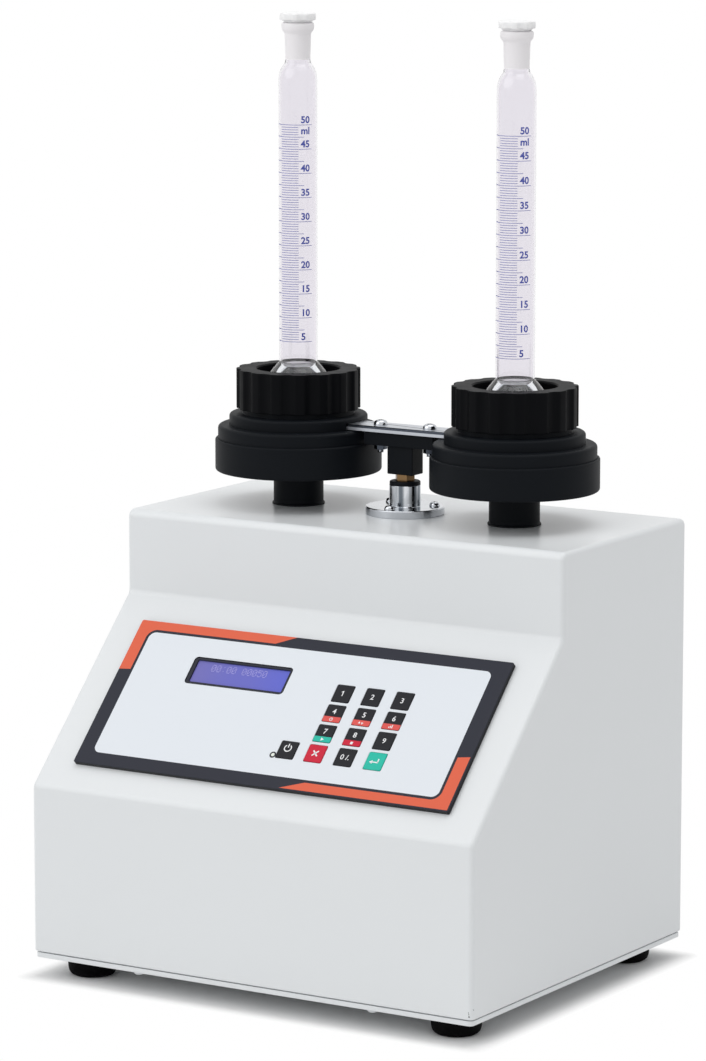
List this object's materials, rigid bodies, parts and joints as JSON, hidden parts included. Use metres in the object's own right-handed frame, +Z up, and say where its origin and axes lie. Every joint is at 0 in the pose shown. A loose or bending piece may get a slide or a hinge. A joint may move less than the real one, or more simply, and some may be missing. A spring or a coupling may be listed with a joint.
{
  "type": "bulk density apparatus",
  "caption": "Bench tapping apparatus: sloped console with keypad and display, lift rod and linked holders that raise and drop stoppered graduated glass cylinders clamped by fluted rings.",
  "frame": {"origin": "on the bench under the middle of the housing", "axes": "+X to the operator's right, -Y towards the operator, +Z up"},
  "size_m": [0.3, 0.2501, 0.5591],
  "materials": {
    "white_paint": "gloss powder coat",
    "rubber": "matte",
    "zinc_steel": "satin",
    "panel_black": "printed plate",
    "display_blue": "lit window",
    "circuit_board": "solder mask",
    "led_green": "clear lens",
    "brass": "turned",
    "supply_case": "satin",
    "inlet_plastic": "moulded",
    "black_acetal": "turned acetal",
    "chrome": "polished",
    "motor_case": "satin",
    "cam_steel": "ground",
    "clear_glass": "polished",
    "stopper_plastic": "translucent",
    "key_black": "gloss",
    "key_red": "gloss",
    "key_teal": "gloss"
  },
  "bodies": {
    "housing": {"cover": "white_paint", "base_plate": "white_paint", "feet": "rubber", "foot_screws": "zinc_steel", "base_screws": "zinc_steel", "panel_plate": "panel_black", "display_window": "display_blue", "display_module": "circuit_board", "keypad_board": "circuit_board", "dome_switches": "zinc_steel", "power_led": "led_green", "control_board": "circuit_board", "board_standoffs": "brass", "power_supply": "supply_case", "mains_inlet": "inlet_plastic", "inlet_screws": "zinc_steel", "guide_bushes": "black_acetal", "bush_nuts": "zinc_steel", "guide_flange": "chrome", "flange_screws": "chrome", "drive_motor": "motor_case", "motor_bracket": "zinc_steel", "drive_screws": "zinc_steel"},
    "cam": {"motor_shaft": "zinc_steel", "snail_cam": "cam_steel", "cam_set_screw": "zinc_steel"},
    "carriage": {"cam_follower": "zinc_steel", "lift_rod": "brass", "guide_block": "black_acetal", "link_plate": "chrome", "link_screws": "chrome", "link_nuts": "zinc_steel", "base_discs": "black_acetal", "upper_discs": "black_acetal", "holder_cups": "black_acetal", "holder_shafts": "zinc_steel", "holder_screws": "zinc_steel", "seat_pads": "rubber"},
    "left_glass": {"left_cylinder": "clear_glass"},
    "left_seal": {"left_ring_seal": "rubber"},
    "left_ring": {"left_clamp_ring": "black_acetal"},
    "left_plug": {"left_stopper": "stopper_plastic"},
    "right_glass": {"right_cylinder": "clear_glass"},
    "right_seal": {"right_ring_seal": "rubber"},
    "right_ring": {"right_clamp_ring": "black_acetal"},
    "right_plug": {"right_stopper": "stopper_plastic"},
    "key_0": {"key_0": "key_black"},
    "key_1": {"key_1": "key_black"},
    "key_2": {"key_2": "key_black"},
    "key_3": {"key_3": "key_black"},
    "key_4": {"key_4": "key_black"},
    "key_5": {"key_5": "key_black"},
    "key_6": {"key_6": "key_black"},
    "key_7": {"key_7": "key_black"},
    "key_8": {"key_8": "key_black"},
    "key_9": {"key_9": "key_black"},
    "key_cancel": {"key_cancel": "key_red"},
    "key_enter": {"key_enter": "key_teal"},
    "key_power": {"key_power": "key_black"}
  },
  "joints": [
    {"name": "cam_turn", "type": "hinge", "parent": "housing", "child": "cam", "pos_m": [0, 0.05, 0.12], "axis": [0, 1, 0], "range_deg": [0, 320]},
    {"name": "tap_lift", "type": "slide", "parent": "housing", "child": "carriage", "axis": [0, 0, 1], "range_m": [0, 0.014]},
    {"name": "left_cylinder_lift", "type": "slide", "parent": "carriage", "child": "left_glass", "axis": [0, 0, 1], "range_m": [0, 0.05]},
    {"name": "left_ring_rise", "type": "slide", "parent": "left_glass", "child": "left_seal", "axis": [0, 0, 1], "range_m": [0, 0.006]},
    {"name": "left_ring_turn", "type": "hinge", "parent": "left_seal", "child": "left_ring", "pos_m": [-0.075, 0.05, 0.335], "axis": [0, 0, 1], "range_deg": [0, 1080]},
    {"name": "left_stopper_pull", "type": "slide", "parent": "left_glass", "child": "left_plug", "axis": [0, 0, 1], "range_m": [0, 0.03]},
    {"name": "right_cylinder_lift", "type": "slide", "parent": "carriage", "child": "right_glass", "axis": [0, 0, 1], "range_m": [0, 0.05]},
    {"name": "right_ring_rise", "type": "slide", "parent": "right_glass", "child": "right_seal", "axis": [0, 0, 1], "range_m": [0, 0.006]},
    {"name": "right_ring_turn", "type": "hinge", "parent": "right_seal", "child": "right_ring", "pos_m": [0.075, 0.05, 0.335], "axis": [0, 0, 1], "range_deg": [0, 1080]},
    {"name": "right_stopper_pull", "type": "slide", "parent": "right_glass", "child": "right_plug", "axis": [0, 0, 1], "range_m": [0, 0.03]},
    {"name": "key_0_press", "type": "slide", "parent": "housing", "child": "key_0", "axis": [0, 0.7071, -0.7071], "range_m": [0, 0.0004], "stiffness_N_per_m": 500},
    {"name": "key_1_press", "type": "slide", "parent": "housing", "child": "key_1", "axis": [0, 0.7071, -0.7071], "range_m": [0, 0.0004], "stiffness_N_per_m": 500},
    {"name": "key_2_press", "type": "slide", "parent": "housing", "child": "key_2", "axis": [0, 0.7071, -0.7071], "range_m": [0, 0.0004], "stiffness_N_per_m": 500},
    {"name": "key_3_press", "type": "slide", "parent": "housing", "child": "key_3", "axis": [0, 0.7071, -0.7071], "range_m": [0, 0.0004], "stiffness_N_per_m": 500},
    {"name": "key_4_press", "type": "slide", "parent": "housing", "child": "key_4", "axis": [0, 0.7071, -0.7071], "range_m": [0, 0.0004], "stiffness_N_per_m": 500},
    {"name": "key_5_press", "type": "slide", "parent": "housing", "child": "key_5", "axis": [0, 0.7071, -0.7071], "range_m": [0, 0.0004], "stiffness_N_per_m": 500},
    {"name": "key_6_press", "type": "slide", "parent": "housing", "child": "key_6", "axis": [0, 0.7071, -0.7071], "range_m": [0, 0.0004], "stiffness_N_per_m": 500},
    {"name": "key_7_press", "type": "slide", "parent": "housing", "child": "key_7", "axis": [0, 0.7071, -0.7071], "range_m": [0, 0.0004], "stiffness_N_per_m": 500},
    {"name": "key_8_press", "type": "slide", "parent": "housing", "child": "key_8", "axis": [0, 0.7071, -0.7071], "range_m": [0, 0.0004], "stiffness_N_per_m": 500},
    {"name": "key_9_press", "type": "slide", "parent": "housing", "child": "key_9", "axis": [0, 0.7071, -0.7071], "range_m": [0, 0.0004], "stiffness_N_per_m": 500},
    {"name": "key_cancel_press", "type": "slide", "parent": "housing", "child": "key_cancel", "axis": [0, 0.7071, -0.7071], "range_m": [0, 0.0004], "stiffness_N_per_m": 500},
    {"name": "key_enter_press", "type": "slide", "parent": "housing", "child": "key_enter", "axis": [0, 0.7071, -0.7071], "range_m": [0, 0.0004], "stiffness_N_per_m": 500},
    {"name": "key_power_press", "type": "slide", "parent": "housing", "child": "key_power", "axis": [0, 0.7071, -0.7071], "range_m": [0, 0.0004], "stiffness_N_per_m": 500}
  ],
  "couplings": [
    {"joint": "tap_lift", "follows": "cam_turn", "m_per_rad": 0.0025066},
    {"joint": "left_ring_rise", "follows": "left_ring_turn", "m_per_rad": 0.0003183},
    {"joint": "right_ring_rise", "follows": "right_ring_turn", "m_per_rad": 0.0003183}
  ]
}
